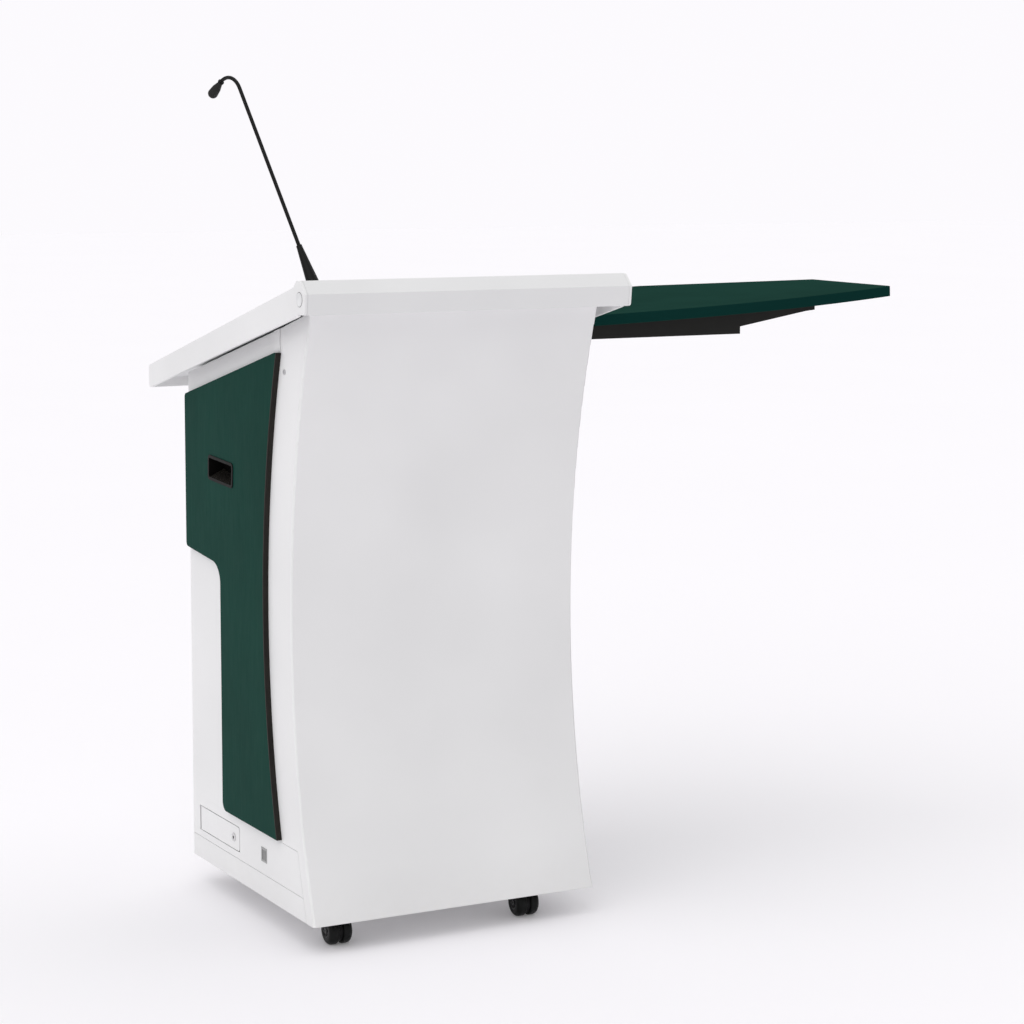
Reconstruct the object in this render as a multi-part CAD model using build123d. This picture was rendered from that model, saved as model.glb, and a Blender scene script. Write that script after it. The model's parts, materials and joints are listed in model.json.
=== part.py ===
from build123d import *
from math import atan, cos, degrees, hypot, radians, sin, sqrt, tan
import os

# Multimedia lectern: a curved sheet-metal body on four twin-wheel casters, a sloping desk lid,
# a gooseneck microphone and a folding side shelf.
#
# Lectern frame, in millimetres: X runs to the right as the audience sees it, Y runs from the audience
# side to the presenter side, Z is up. Everything is worked out about the middle of the body's front
# line on the floor, and is moved once, on writing, to the middle of the whole object's footprint.

# ---- driving dimensions -------------------------------------------------------------------------
BODY_W = 528.0              # over the side walls
BODY_D = 522.0              # front line to rear face
BASE_Z = 48.0               # lower edge of the plinth
PLINTH_TOP = 88.0           # lower seam
HOUSING_TOP = 161.0         # upper seam
STRIP_GAP = 1.8             # extra gap between the cheek and the strip above the side panel
SEAM = 0.8                  # seam between neighbouring sheet panels
SHEET = 2.0                 # body sheet thickness
BEND_R = 4.0                # outer bend radius of the front shell

BEAM_BOTTOM = 1052.0        # underside of the front beam
FACE_SAG = 84.0             # how deep the concave front face is
CHEEK_W = 91.0              # width of the front shell's cheeks
FLANGE_W = 28.0             # width of the cheeks below the upper seam
CHEEK_TOP_Y = 115.0         # rear edge of the cheeks above the side panels

# ---- desk ---------------------------------------------------------------------------------------
DESK_W = 594.0              # over the side rails
RAIL_T = 5.0
RAIL_TOP = 1091.6           # rail's upper edge, at the front line
RAIL_TOP_SLOPE = tan(radians(15.0))
RAIL_BOTTOM = 1042.2        # rail's lower edge, at the front line
RAIL_BOTTOM_SLOPE = tan(radians(14.3))
DESK_BACK = 629.0           # rear edge of the desk
BOARD_INSET = 6.0           # the board lies this far below the rails
BOARD_T = 18.0
BOARD_FRONT = -1.0
WALL_RISE = 8.0             # the walls rise this far above the rails' lower edge
PIVOT_Y = -33.0
PIVOT_Z = 1076.3
PIVOT_R = 6.0
CAP_R = 11.0                # round cap over each pivot
CAP_T = 0.6
FIT = 0.06                  # radial running clearance of pins
GAP = 0.3                   # clearance between parts that move past each other

# ---- side panels and handles --------------------------------------------------------------------
PANEL_T = 9.3
EDGE_T = 3.0                # edging strip on the panel's front edge
PANEL_DROP = 38.0           # panel's top edge below the wall's top edge
PANEL_TOP_FLAT = 981.0      # level end of the panel's top edge, at the front
PANEL_BACK = 518.0
STEP_Z = 611.0              # the step in the rear edge
STEP_FALL = tan(radians(5.0))
NECK_Y = 363.0              # rear edge below the step
NECK_R = 36.0
PANEL_BOTTOM = 166.0
PANEL_R = 16.0
HANDLE_Y = 355.0
HANDLE_Z = 761.0
HANDLE_L = 104.0
HANDLE_H = 37.0
HANDLE_TILT = 2.5           # degrees, falling towards the front
HANDLE_RIM = 3.0
HANDLE_CLEAR = 12.0         # room round the cup in the sheet behind the panel
HANDLE_DEPTH = 30.0
CUP_T = 2.0

# ---- base door, port and rear door --------------------------------------------------------------
DOOR_Y0 = 309.0
DOOR_Y1 = 492.0
DOOR_Z0 = 100.0
DOOR_Z1 = 145.0
DOOR_GAP = 1.5
DOOR_REAR_GAP = 6.0         # wider gap at the flap's hinge edge
DOOR_LOCK_GAP = 2.5         # gap at its lock edge
DOOR_R = 5.0                # corner radius at its lock edge
LOCK_Y = 335.0
LOCK_R = 6.0
PORT_Y = 203.0
PORT_Z = 122.0
PORT_W = 23.0
PORT_H = 25.0
PORT_SLOTS = 3
REAR_DOOR_TOP = 868.0
WALL_RETURN = 14.0          # rear return of each side wall
REAR_KNUCKLE_R = 5.0
REAR_PIN_R = 2.5
REAR_LEAF_H = 50.0
REAR_EAR_H = 14.0
REAR_LOCK_Z = 560.0

# ---- folding shelf ------------------------------------------------------------------------------
SHELF_IN = 300.5            # inner edge of the shelf board
SHELF_OUT = 1000.0          # outer edge
SHELF_Z = 1020.0            # top face, at the body's side
SHELF_RISE = 0.05           # it rises outward
SHELF_T = 19.0
SHELF_FRONT_IN = 146.0      # front edge: inner end, foremost point, outer end
SHELF_FRONT_MID = 115.0
SHELF_FRONT_MID_X = 585.0
SHELF_FRONT_OUT = 182.0
SHELF_SIDE_END = 434.0      # where the outer edge turns into the slanting rear edge
SHELF_BACK = 600.0
SHELF_BACK_X = 706.0
BRACKET_YS = {"front": 172.0, "rear": 440.0}
BRACKET_W = 24.0
BRACKET_Z = 980.0
BRACKET_END = 653.0
BRACKET_T = 3.0
ARM_START = 520.0
ARM_END = 817.0
ARM_TIP_H = 10.0
ARM_ROOT_H = 28.0
SHELF_AXIS_X = 313.0
SHELF_AXIS_Z = 968.0
KNUCKLE_R = 7.0
KNUCKLE_L = 11.0
PIN_R = 3.0
MOUNT_T = 4.0
MOUNT_Y = (146.0, 466.0)
MOUNT_Z = (872.0, 978.0)
STANDOFF_Z = 890.0
STANDOFF_R = 9.0

# ---- casters ------------------------------------------------------------------------------------
CASTERS = {"fl": (-199.0, 72.0), "fr": (155.0, 72.0), "bl": (-150.0, 452.0), "br": (155.0, 452.0)}
SWIVEL = 2.0                # degrees that the casters are turned at rest
TRAIL = 21.0
WHEEL_R = 24.0
WHEEL_T = 17.0
WHEEL_ROUND = 8.5           # rounding of the tread towards the outer face
WEB_T = 7.0
AXLE_R = 3.0
STEM_R = 5.0
DECK_Z = 66.0               # underside of the caster deck
PLATE_T = 3.0
PLATE_A = 44.0

# ---- microphone ---------------------------------------------------------------------------------
MIC_X = -239.0
MIC_BASE_Y = 25.5
MIC_TURN = 12.0             # degrees that its upright plane turns outward from the Y axis
MIC_LEAN = 32.8             # degrees from upright, towards the presenter
CONE_L = 91.5
CONE_START = 13.0
CONE_R0 = 11.0
CONE_R1 = 4.6
NECK_TUBE_R = 3.1
NECK_L = 295.0
NECK_BEND_R = 38.0
NECK_BEND = 80.0            # degrees that the upper end turns over
NECK_TAIL = 3.0
HEAD_DROP = 15.0            # degrees that the capsule hangs below the neck's end
HEAD_L = 43.0
HEAD_R = 8.4

# ---- worked-out places --------------------------------------------------------------------------
HALF_W = BODY_W / 2
HALF_DESK = DESK_W / 2
INNER = HALF_W - SHEET
FACE_MID = (BASE_Z + BEAM_BOTTOM) / 2
FACE_R = ((BEAM_BOTTOM - BASE_Z) / 2) ** 2 / (2 * FACE_SAG) + FACE_SAG / 2
BEAM_FRONT = -54.5
REAR_DOOR_HALF = INNER - WALL_RETURN - DOOR_GAP
REAR_AXIS_X = -REAR_DOOR_HALF - DOOR_GAP / 2
REAR_AXIS_Y = BODY_D + REAR_KNUCKLE_R + 0.5
ORIGIN_X = (SHELF_OUT - HALF_DESK) / 2
ORIGIN_Y = (DESK_BACK + BEAM_FRONT) / 2
SHELF_ANGLE = degrees(atan(SHELF_RISE))


def face_y(z):
    """Where the front face lies at height z."""
    return FACE_SAG - FACE_R + sqrt(FACE_R**2 - (z - FACE_MID) ** 2)


def rail_top(y):
    return RAIL_TOP - RAIL_TOP_SLOPE * y


def rail_bottom(y):
    return RAIL_BOTTOM - RAIL_BOTTOM_SLOPE * y


def wall_top(y):
    return rail_bottom(y) + WALL_RISE


def panel_top(y):
    return wall_top(y) - PANEL_DROP


def shelf_under(x):
    """Height of the shelf board's underside."""
    return SHELF_Z - SHELF_T / cos(radians(SHELF_ANGLE)) + SHELF_RISE * (x - HALF_W)


# ---- helpers ------------------------------------------------------------------------------------
def outline(*pieces):
    """A face from points joined by straight lines; a callable between two points draws an arc."""
    edges = []
    for i, item in enumerate(pieces):
        if callable(item):
            edges.append(item(pieces[i - 1], pieces[(i + 1) % len(pieces)]))
        elif not callable(pieces[i - 1]):
            edges.append(Line(pieces[i - 1], item))
    return make_face(edges)


def face_arc(offset, z0, z1):
    """The front face's arc between two heights, moved back by offset."""
    middle = (z0 + z1) / 2
    return ThreePointArc(
        (face_y(z0) + offset, z0), (face_y(middle) + offset, middle), (face_y(z1) + offset, z1)
    )


def across(face, x0, x1):
    """Extrudes a Y-Z face from x0 to x1."""
    return extrude(Plane.YZ.offset(x0) * face, x1 - x0)


def box(x0, x1, y0, y1, z0, z1):
    middle = ((x0 + x1) / 2, (y0 + y1) / 2, (z0 + z1) / 2)
    return Pos(*middle) * Box(abs(x1 - x0), abs(y1 - y0), abs(z1 - z0))


def rod(radius, start, end):
    """A cylinder between two points."""
    way = Vector(*end) - Vector(*start)
    plane = Plane(origin=start, z_dir=way)
    return extrude(plane * Circle(radius), way.length)


def mirrored(part):
    return mirror(part, about=Plane.YZ)


def save(name, part):
    solids = part.solids()
    moved = [solid.moved(Location((-ORIGIN_X, -ORIGIN_Y, 0))) for solid in solids]
    shape = moved[0] if len(moved) == 1 else Compound(children=moved)
    shape.label = name
    export_step(shape, os.path.join("parts", name + ".step"))


# ---- body ---------------------------------------------------------------------------------------
def shell_profile(inset):
    """Side outline of the front shell, moved in from its front face by inset."""
    top = BEAM_BOTTOM
    notch = HOUSING_TOP + SEAM
    rear_top = PANEL_TOP_FLAT + SEAM
    back = inset * 8
    edges = [
        face_arc(inset, BASE_Z, top),
        Line((face_y(top) + inset, top), (face_y(top) + 2 * SHEET, top)),
        Line((face_y(top) + 2 * SHEET, top), (CHEEK_TOP_Y + back, wall_top(CHEEK_TOP_Y))),
        Line((CHEEK_TOP_Y + back, wall_top(CHEEK_TOP_Y)), (CHEEK_TOP_Y + back, rear_top)),
        Line((CHEEK_TOP_Y + back, rear_top), (face_y(rear_top) + CHEEK_W + back, rear_top)),
        face_arc(CHEEK_W + back, notch, rear_top),
        Line((face_y(notch) + CHEEK_W + back, notch), (face_y(notch) + FLANGE_W + back, notch)),
        face_arc(FLANGE_W + back, BASE_Z, notch),
        Line((face_y(BASE_Z) + FLANGE_W + back, BASE_Z), (face_y(BASE_Z) + inset, BASE_Z)),
    ]
    return make_face(edges)


def front_shell():
    outer = across(shell_profile(0.0), -HALF_W, HALF_W)
    bends = [e for e in outer.edges() if abs(abs(e.center().X) - HALF_W) < 0.01
             and e.length > 0.9 * (BEAM_BOTTOM - BASE_Z) and e.center().Y < FACE_SAG + 1]
    outer = fillet(bends, BEND_R)
    inner_top = BEAM_BOTTOM + 10
    inner_low = BASE_Z - 10
    back = BODY_D
    inner_face = make_face([
        face_arc(SHEET, inner_low, inner_top),
        Line((face_y(inner_top) + SHEET, inner_top), (back, inner_top)),
        Line((back, inner_top), (back, inner_low)),
        Line((back, inner_low), (face_y(inner_low) + SHEET, inner_low)),
    ])
    inner = across(inner_face, -INNER, INNER)
    bends = [e for e in inner.edges() if abs(abs(e.center().X) - INNER) < 0.01
             and e.length > 0.9 * (inner_top - inner_low) and e.center().Y < FACE_SAG + SHEET + 1]
    return outer - fillet(bends, BEND_R - SHEET)


def band_side(x0, x1, offset, z0, z1, rear):
    """A side plate of the base, whose front edge runs parallel to the front face."""
    face = make_face([
        face_arc(offset, z0, z1),
        Line((face_y(z1) + offset, z1), (rear, z1)),
        Line((rear, z1), (rear, z0)),
        Line((rear, z0), (face_y(z0) + offset, z0)),
    ])
    return across(face, x0, x1)


def base_band(z0, z1, deck0, deck1):
    """Plinth or housing: two sides and a rear wall, tied by a deck between deck0 and deck1."""
    lap = 16.0
    part = box(-HALF_W, HALF_W, BODY_D - SHEET, BODY_D, z0, z1)
    for side in (-1, 1):
        part += band_side(side * INNER, side * HALF_W, FLANGE_W + SEAM, z0, z1, BODY_D)
        part += band_side(side * (INNER - SHEET), side * INNER, FLANGE_W - lap, z0, z1, BODY_D)
    front = make_face([
        face_arc(BEND_R, deck0, deck1),
        Line((face_y(deck1) + BEND_R, deck1), (BODY_D - SHEET, deck1)),
        Line((BODY_D - SHEET, deck1), (BODY_D - SHEET, deck0)),
        Line((BODY_D - SHEET, deck0), (face_y(deck0) + BEND_R, deck0)),
    ])
    return part + across(front, -INNER + SHEET, INNER - SHEET)


def plinth():
    part = base_band(BASE_Z, PLINTH_TOP - SEAM, DECK_Z, DECK_Z + PLATE_T)
    for x, y in caster_places():
        part -= Pos(x, y, DECK_Z) * Cylinder(STEM_R + 1, 4 * PLATE_T)
    return part


def housing():
    part = base_band(PLINTH_TOP, HOUSING_TOP, HOUSING_TOP - SHEET, HOUSING_TOP)
    inside = -HALF_W + 2.5 * SHEET
    part -= Pos(-1, 0, 0) * door_block(inside + 1, 0, 0, 0)
    return part - box(-HALF_W - 1, inside, PORT_Y - PORT_W / 2, PORT_Y + PORT_W / 2,
                      PORT_Z - PORT_H / 2, PORT_Z + PORT_H / 2)


def wall_face(offset, lap_only):
    """Side wall outline, whose front edge follows the cheek's rear edge, moved by offset."""
    low = HOUSING_TOP
    corner = PANEL_TOP_FLAT + SEAM
    y_top = CHEEK_TOP_Y + offset + STRIP_GAP
    rear = CHEEK_TOP_Y + 130 if lap_only else BODY_D
    return make_face([
        face_arc(CHEEK_W + offset, low, corner),
        Line((face_y(corner) + CHEEK_W + offset, corner), (y_top, corner)),
        Line((y_top, corner), (y_top, wall_top(y_top))),
        Line((y_top, wall_top(y_top)), (rear, wall_top(rear))),
        Line((rear, wall_top(rear)), (rear, low)),
        Line((rear, low), (face_y(low) + CHEEK_W + offset, low)),
    ])


def side_wall():
    """Left side wall: outer sheet, a lap behind the cheek, and a raised strip at the top front."""
    wall = across(wall_face(SEAM, False), -HALF_W, -INNER)
    wall += across(wall_face(-18.0, True), -INNER, -INNER + SHEET)
    wall += box(-HALF_W, -INNER + WALL_RETURN, BODY_D - SHEET, BODY_D, HOUSING_TOP, wall_top(BODY_D))
    strip0 = CHEEK_TOP_Y + SEAM + STRIP_GAP
    strip1 = CHEEK_TOP_Y + 26
    strip = outline((strip0, PANEL_TOP_FLAT + 2), (strip0, wall_top(strip0)),
                    (strip1, wall_top(strip1)), (strip1, PANEL_TOP_FLAT + 2))
    wall += across(strip, -HALF_W - 1.5, -HALF_W)
    return wall - handle_cut(HANDLE_CLEAR)


def panel_face(front_offset):
    """Outline of the coloured side panel; its front edge is moved back by front_offset."""
    corner_y = face_y(PANEL_TOP_FLAT) + CHEEK_W + SEAM + front_offset
    bend_y = (wall_top(0) - PANEL_DROP - PANEL_TOP_FLAT) / RAIL_BOTTOM_SLOPE
    low = PANEL_BOTTOM
    front = CHEEK_W + SEAM + front_offset
    step_front = STEP_Z - STEP_FALL * (PANEL_BACK - NECK_Y)
    face = make_face([
        face_arc(front, low, PANEL_TOP_FLAT),
        Line((corner_y, PANEL_TOP_FLAT), (bend_y, PANEL_TOP_FLAT)),
        Line((bend_y, PANEL_TOP_FLAT), (PANEL_BACK, panel_top(PANEL_BACK))),
        Line((PANEL_BACK, panel_top(PANEL_BACK)), (PANEL_BACK, STEP_Z)),
        Line((PANEL_BACK, STEP_Z), (NECK_Y, step_front)),
        Line((NECK_Y, step_front), (NECK_Y, low)),
        Line((NECK_Y, low), (face_y(low) + front, low)),
    ])
    rounded = {
        (PANEL_BACK, panel_top(PANEL_BACK)): 8.0,
        (PANEL_BACK, STEP_Z): 8.0,
        (NECK_Y, step_front): NECK_R,
        (NECK_Y, low): PANEL_R,
    }
    for (y, z), radius in rounded.items():
        corner = [v for v in face.vertices() if hypot(v.X - y, v.Y - z) < 0.1]
        face = fillet(corner, radius)
    return face


def handle_outline(grow):
    shape = RectangleRounded(HANDLE_L + 2 * grow, HANDLE_H + 2 * grow, 5 + grow)
    return Pos(HANDLE_Y, HANDLE_Z) * Rot(0, 0, HANDLE_TILT) * shape


def handle_cut(grow):
    return across(handle_outline(grow), -HALF_W - 2 * PANEL_T, -INNER + 2 * SHEET)


def side_panel():
    return across(panel_face(EDGE_T), -HALF_W - PANEL_T, -HALF_W) - handle_cut(GAP)


def edge_strip():
    """Edging on the front edge of the side panel."""
    low = PANEL_BOTTOM
    high = PANEL_TOP_FLAT
    face = make_face([
        face_arc(CHEEK_W + SEAM, low, high),
        Line((face_y(high) + CHEEK_W + SEAM, high), (face_y(high) + CHEEK_W + SEAM + EDGE_T, high)),
        face_arc(CHEEK_W + SEAM + EDGE_T, low, high),
        Line((face_y(low) + CHEEK_W + SEAM + EDGE_T, low), (face_y(low) + CHEEK_W + SEAM, low)),
    ])
    return across(face, -HALF_W - PANEL_T, -HALF_W)


def handle_cup():
    """Recessed handle: a rim on the panel and a cup whose floor slopes inward."""
    face = -HALF_W - PANEL_T
    rim = across(handle_outline(HANDLE_RIM), face - 1.5, face)
    tube = across(handle_outline(0), face - 1.5, face + HANDLE_DEPTH)
    mouth = across(handle_outline(-CUP_T), face - 2, face + HANDLE_DEPTH - CUP_T)
    return rim + tube - mouth


def cheek_screws():
    """A flanged button-head screw on each cheek."""
    y = CHEEK_TOP_Y - 14
    z = PANEL_TOP_FLAT - 30
    left = rod(4.0, (-HALF_W - 1.8, y, z), (-HALF_W, y, z))
    left += rod(2.0, (-HALF_W, y, z), (-INNER, y, z))
    left -= extrude(Plane.YZ.offset(-HALF_W - 1.8) * Pos(y, z) * RegularPolygon(1.8, 6), 1.0)
    return left


def drilled_cheeks(shell):
    y = CHEEK_TOP_Y - 14
    z = PANEL_TOP_FLAT - 30
    return shell - rod(2.0, (-HALF_W - 1, y, z), (HALF_W + 1, y, z))


# ---- base door, its lock and the port -----------------------------------------------------------
def door_block(x1, gap, front, rear):
    """Block of the flap's outline from the side face to x1, set in by a gap on each edge."""
    block = box(-HALF_W, x1, DOOR_Y0 + front, DOOR_Y1 - rear, DOOR_Z0 + gap, DOOR_Z1 - gap)
    corners = [e for e in block.edges().filter_by(Axis.X) if e.center().Y < LOCK_Y]
    return fillet(corners, DOOR_R)


def base_door():
    """Flap in the housing's left side: an outer sheet with a return behind its lock edge."""
    y0 = DOOR_Y0 + DOOR_LOCK_GAP
    y1 = DOOR_Y1 - DOOR_REAR_GAP
    z0 = DOOR_Z0 + DOOR_GAP
    z1 = DOOR_Z1 - DOOR_GAP
    door = door_block(-HALF_W + SHEET, DOOR_GAP, DOOR_LOCK_GAP, DOOR_REAR_GAP)
    door += box(-HALF_W, -HALF_W + 8, y0, y0 + SHEET, z0 + DOOR_R, z1 - DOOR_R)
    door += rod(3.0, (-HALF_W + 3, y1 - 3, z0), (-HALF_W + 3, y1 - 3, z1))
    door -= rod(PIN_R / 2 + FIT, (-HALF_W + 3, y1 - 3, z0 - 1), (-HALF_W + 3, y1 - 3, z1 + 1))
    middle = (DOOR_Z0 + DOOR_Z1) / 2
    return door - rod(LOCK_R + FIT, (-HALF_W - 1, LOCK_Y, middle), (-HALF_W + 9, LOCK_Y, middle))


def base_door_pin():
    y = DOOR_Y1 - DOOR_REAR_GAP - 3
    return rod(PIN_R / 2, (-HALF_W + 3, y, DOOR_Z0), (-HALF_W + 3, y, DOOR_Z1))


def lock_barrel(depth, reach):
    """Cam lock along +Z from its face at the origin; its cam reaches along +Y when locked."""
    part = Pos(0, 0, depth / 2) * Cylinder(LOCK_R, depth)
    part += Pos(0, 0, -0.8) * Cylinder(LOCK_R + 1.5, 1.6)
    part += Pos(0, (reach - LOCK_R) / 2, depth + 1) * Box(8, reach + LOCK_R, 2)
    return part - Pos(0, 0, -1.2) * Box(1.2, 6, 2.4)


def base_lock():
    """Unlocked: its cam points away from the door's free edge."""
    middle = (DOOR_Z0 + DOOR_Z1) / 2
    place = Plane(origin=(-HALF_W, LOCK_Y, middle), x_dir=(0, 0, 1), z_dir=(1, 0, 0))
    return place * Rot(0, 0, 180) * lock_barrel(9.5, LOCK_Y - DOOR_Y0 + 5)


def port():
    """Three-slot port let into the housing."""
    half_w = PORT_W / 2 - GAP
    half_h = PORT_H / 2 - GAP
    part = box(-HALF_W - 0.8, -HALF_W + 4, PORT_Y - half_w, PORT_Y + half_w,
               PORT_Z - half_h, PORT_Z + half_h)
    pitch = PORT_W / (PORT_SLOTS + 1)
    for i in range(PORT_SLOTS):
        y = PORT_Y + (i - (PORT_SLOTS - 1) / 2) * pitch
        part -= box(-HALF_W - 2, -HALF_W + 2, y - 1.4, y + 1.4, PORT_Z - 9, PORT_Z + 9)
    return part


# ---- rear ---------------------------------------------------------------------------------------
def rear_header():
    """Fixed panel above the rear door."""
    z0 = REAR_DOOR_TOP + 2 * DOOR_GAP
    z1 = wall_top(BODY_D)
    x = INNER - WALL_RETURN - SEAM
    part = box(-x, x, BODY_D - SHEET, BODY_D, z0, z1)
    part += box(-INNER, INNER, BODY_D - 3 * SHEET, BODY_D - SHEET, z0, z1)
    return part + box(-x, x, BODY_D - 20, BODY_D - 3 * SHEET, z0, z0 + SHEET)


def rear_hinge_heights():
    low = HOUSING_TOP + DOOR_GAP
    return (low + 70, (low + REAR_DOOR_TOP) / 2, REAR_DOOR_TOP - 70)


def rear_rod(radius, z0, z1):
    """A cylinder on the rear door's hinge axis."""
    return rod(radius, (REAR_AXIS_X, REAR_AXIS_Y, z0), (REAR_AXIS_X, REAR_AXIS_Y, z1))


def rear_door():
    """Pan-shaped door with three leaves on its left edge."""
    x = REAR_DOOR_HALF
    z0 = HOUSING_TOP + DOOR_GAP
    z1 = REAR_DOOR_TOP
    pan = box(-x, x, BODY_D - 14, BODY_D, z0, z1)
    pan -= box(-x + SHEET, x - SHEET, BODY_D - 15, BODY_D - SHEET, z0 + SHEET, z1 - SHEET)
    half = REAR_LEAF_H / 2
    for z in rear_hinge_heights():
        pan += rear_rod(REAR_KNUCKLE_R, z - half, z + half)
        pan += box(REAR_AXIS_X, REAR_AXIS_X + 22, BODY_D, BODY_D + SHEET, z - half, z + half)
        pan -= rear_rod(REAR_PIN_R + FIT, z - half - 1, z + half + 1)
    lock_x = REAR_DOOR_HALF - 30
    return pan - rod(LOCK_R + FIT, (lock_x, BODY_D - 16, REAR_LOCK_Z), (lock_x, BODY_D + 1, REAR_LOCK_Z))


def rear_hinges():
    """Three hinge leaves on the left wall, each with its pin."""
    parts = []
    half = REAR_LEAF_H / 2 + GAP
    for z in rear_hinge_heights():
        part = box(-HALF_W + 2, REAR_AXIS_X - REAR_KNUCKLE_R - 1, BODY_D, BODY_D + SHEET,
                   z - half - REAR_EAR_H, z + half + REAR_EAR_H)
        for low in (z - half - REAR_EAR_H, z + half):
            part += rear_rod(REAR_KNUCKLE_R, low, low + REAR_EAR_H)
            part += box(REAR_AXIS_X - REAR_KNUCKLE_R - 2, REAR_AXIS_X, BODY_D, BODY_D + SHEET,
                        low, low + REAR_EAR_H)
        part += rear_rod(REAR_PIN_R, z - half - REAR_EAR_H, z + half + REAR_EAR_H)
        parts.append(part)
    return Compound(children=[p.solid() for p in parts])


def rear_lock():
    """Unlocked: its cam points down."""
    lock_x = REAR_DOOR_HALF - 30
    place = Plane(origin=(lock_x, BODY_D, REAR_LOCK_Z), x_dir=(0, 0, -1), z_dir=(0, -1, 0))
    return place * Rot(0, 0, -90) * lock_barrel(15.0, 36.0)


# ---- desk ---------------------------------------------------------------------------------------
BEAM_POINTS = [(-51.0, BEAM_BOTTOM), (BEAM_FRONT, 1085.0), (-35.0, 1105.0), (-21.0, 1105.0),
               (-7.0, 1092.0), (-7.0, BEAM_BOTTOM)]
BEAM_WALL = 2.5


def beam():
    """Hollow front beam with a bevelled face and a foot flange on the front shell."""
    x = HALF_DESK - RAIL_T - GAP
    section = make_face([Line(a, b) for a, b in zip(BEAM_POINTS, BEAM_POINTS[1:] + BEAM_POINTS[:1])])
    section = fillet(section.vertices(), 1.5)
    part = across(section, -x, x)
    part -= across(offset(section, -BEAM_WALL), -x + 12, x - 12)
    part += box(-x, x, -10, 5, BEAM_BOTTOM, BEAM_BOTTOM + 2)
    for side in (-1, 1):
        part -= rod(PIVOT_R + FIT, (side * (x - 30), PIVOT_Y, PIVOT_Z), (side * (x + 1), PIVOT_Y, PIVOT_Z))
    return part


def rail():
    """Left side rail: a sloping plate whose rounded front end closes the beam."""
    slope = outline((-12.0, rail_top(-12)), (DESK_BACK, rail_top(DESK_BACK)),
                    (DESK_BACK, rail_bottom(DESK_BACK)), (-28.0, rail_bottom(-28)))
    back = [v for v in slope.vertices() if v.X > DESK_BACK - 1]
    slope = fillet(back, 6.0)
    end = make_face([Line(a, b) for a, b in zip(BEAM_POINTS, BEAM_POINTS[1:] + BEAM_POINTS[:1])])
    corners = [v for v in end.vertices() if v.X < -10]
    end = fillet(corners, 5.0)
    part = across(slope, -HALF_DESK, -HALF_DESK + RAIL_T) + across(end, -HALF_DESK, -HALF_DESK + RAIL_T)
    outer = [e for e in part.edges() if abs(e.center().X + HALF_DESK) < 0.01]
    part = fillet(outer, 1.2)
    return part - rod(PIVOT_R + FIT, (-HALF_DESK - 1, PIVOT_Y, PIVOT_Z), (-HALF_DESK + 9, PIVOT_Y, PIVOT_Z))


def pivot():
    """Left lid pivot: a pin fixed in the rail, with a round cap outside."""
    pin = rod(PIVOT_R, (-HALF_DESK, PIVOT_Y, PIVOT_Z), (-HALF_DESK + RAIL_T + 24, PIVOT_Y, PIVOT_Z))
    return pin + rod(CAP_R, (-HALF_DESK - CAP_T, PIVOT_Y, PIVOT_Z), (-HALF_DESK, PIVOT_Y, PIVOT_Z))


def board():
    """Desk board between the rails, with a hole for the microphone base."""
    x = HALF_DESK - RAIL_T
    back = DESK_BACK - RAIL_T
    face = outline((BOARD_FRONT, rail_top(BOARD_FRONT) - BOARD_INSET), (back, rail_top(back) - BOARD_INSET),
                   (back, rail_top(back) - BOARD_INSET - BOARD_T),
                   (BOARD_FRONT, rail_top(BOARD_FRONT) - BOARD_INSET - BOARD_T))
    part = across(face, -x, x)
    hole = desk_plane() * Pos(0, 0, -BOARD_T / 2) * Cylinder(8.0, 3 * BOARD_T)
    return part - hole


def rear_lip():
    """Closes the desk's rear edge between the rails."""
    x = HALF_DESK - RAIL_T
    y0 = DESK_BACK - RAIL_T
    face = outline((y0, rail_top(y0) - 1), (DESK_BACK, rail_top(DESK_BACK) - 1),
                   (DESK_BACK, rail_bottom(DESK_BACK) + 1), (y0, rail_bottom(y0) + 1))
    return across(face, -x, x)


# ---- microphone ---------------------------------------------------------------------------------
def desk_plane():
    """Plane of the board's top face at the microphone; its normal is the face's normal."""
    z = rail_top(MIC_BASE_Y) - BOARD_INSET
    return Plane(origin=(MIC_X, MIC_BASE_Y, z), x_dir=(1, 0, 0), z_dir=(0, RAIL_TOP_SLOPE, 1))


def lean_way(lean):
    """Direction in the microphone's upright plane, at an angle from upright."""
    turn = radians(MIC_TURN)
    out = sin(radians(lean))
    return Vector(-out * sin(turn), out * cos(turn), cos(radians(lean)))


def lean_plane(origin, lean):
    """Plane across the microphone's axis at origin."""
    turn = radians(MIC_TURN)
    return Plane(origin=origin, x_dir=(cos(turn), sin(turn), 0), z_dir=lean_way(lean))


MIC_ROOT = Vector(MIC_X, MIC_BASE_Y, rail_top(MIC_BASE_Y) - BOARD_INSET)
CONE_TOP = MIC_ROOT + lean_way(MIC_LEAN) * CONE_L
NECK_START = CONE_TOP + lean_way(MIC_LEAN) * (NECK_TUBE_R + GAP)
NECK_END = NECK_START + lean_way(MIC_LEAN) * NECK_L
BEND_CENTRE = NECK_END + lean_way(MIC_LEAN + 90) * NECK_BEND_R
TAIL_LEAN = MIC_LEAN + NECK_BEND
HEAD_LEAN = TAIL_LEAN + HEAD_DROP
BEND_END = BEND_CENTRE - lean_way(TAIL_LEAN + 90) * NECK_BEND_R
BEND_MIDDLE = BEND_CENTRE - lean_way(MIC_LEAN + NECK_BEND / 2 + 90) * NECK_BEND_R
HEAD_JOINT = BEND_END + lean_way(TAIL_LEAN) * NECK_TAIL


def mic_base():
    """Flange and threaded stem in the board."""
    part = desk_plane() * Pos(0, 0, 2.0) * Cylinder(17.0, 4.0)
    return part + desk_plane() * Pos(0, 0, -13.0) * Cylinder(7.7, 26.0)


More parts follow.
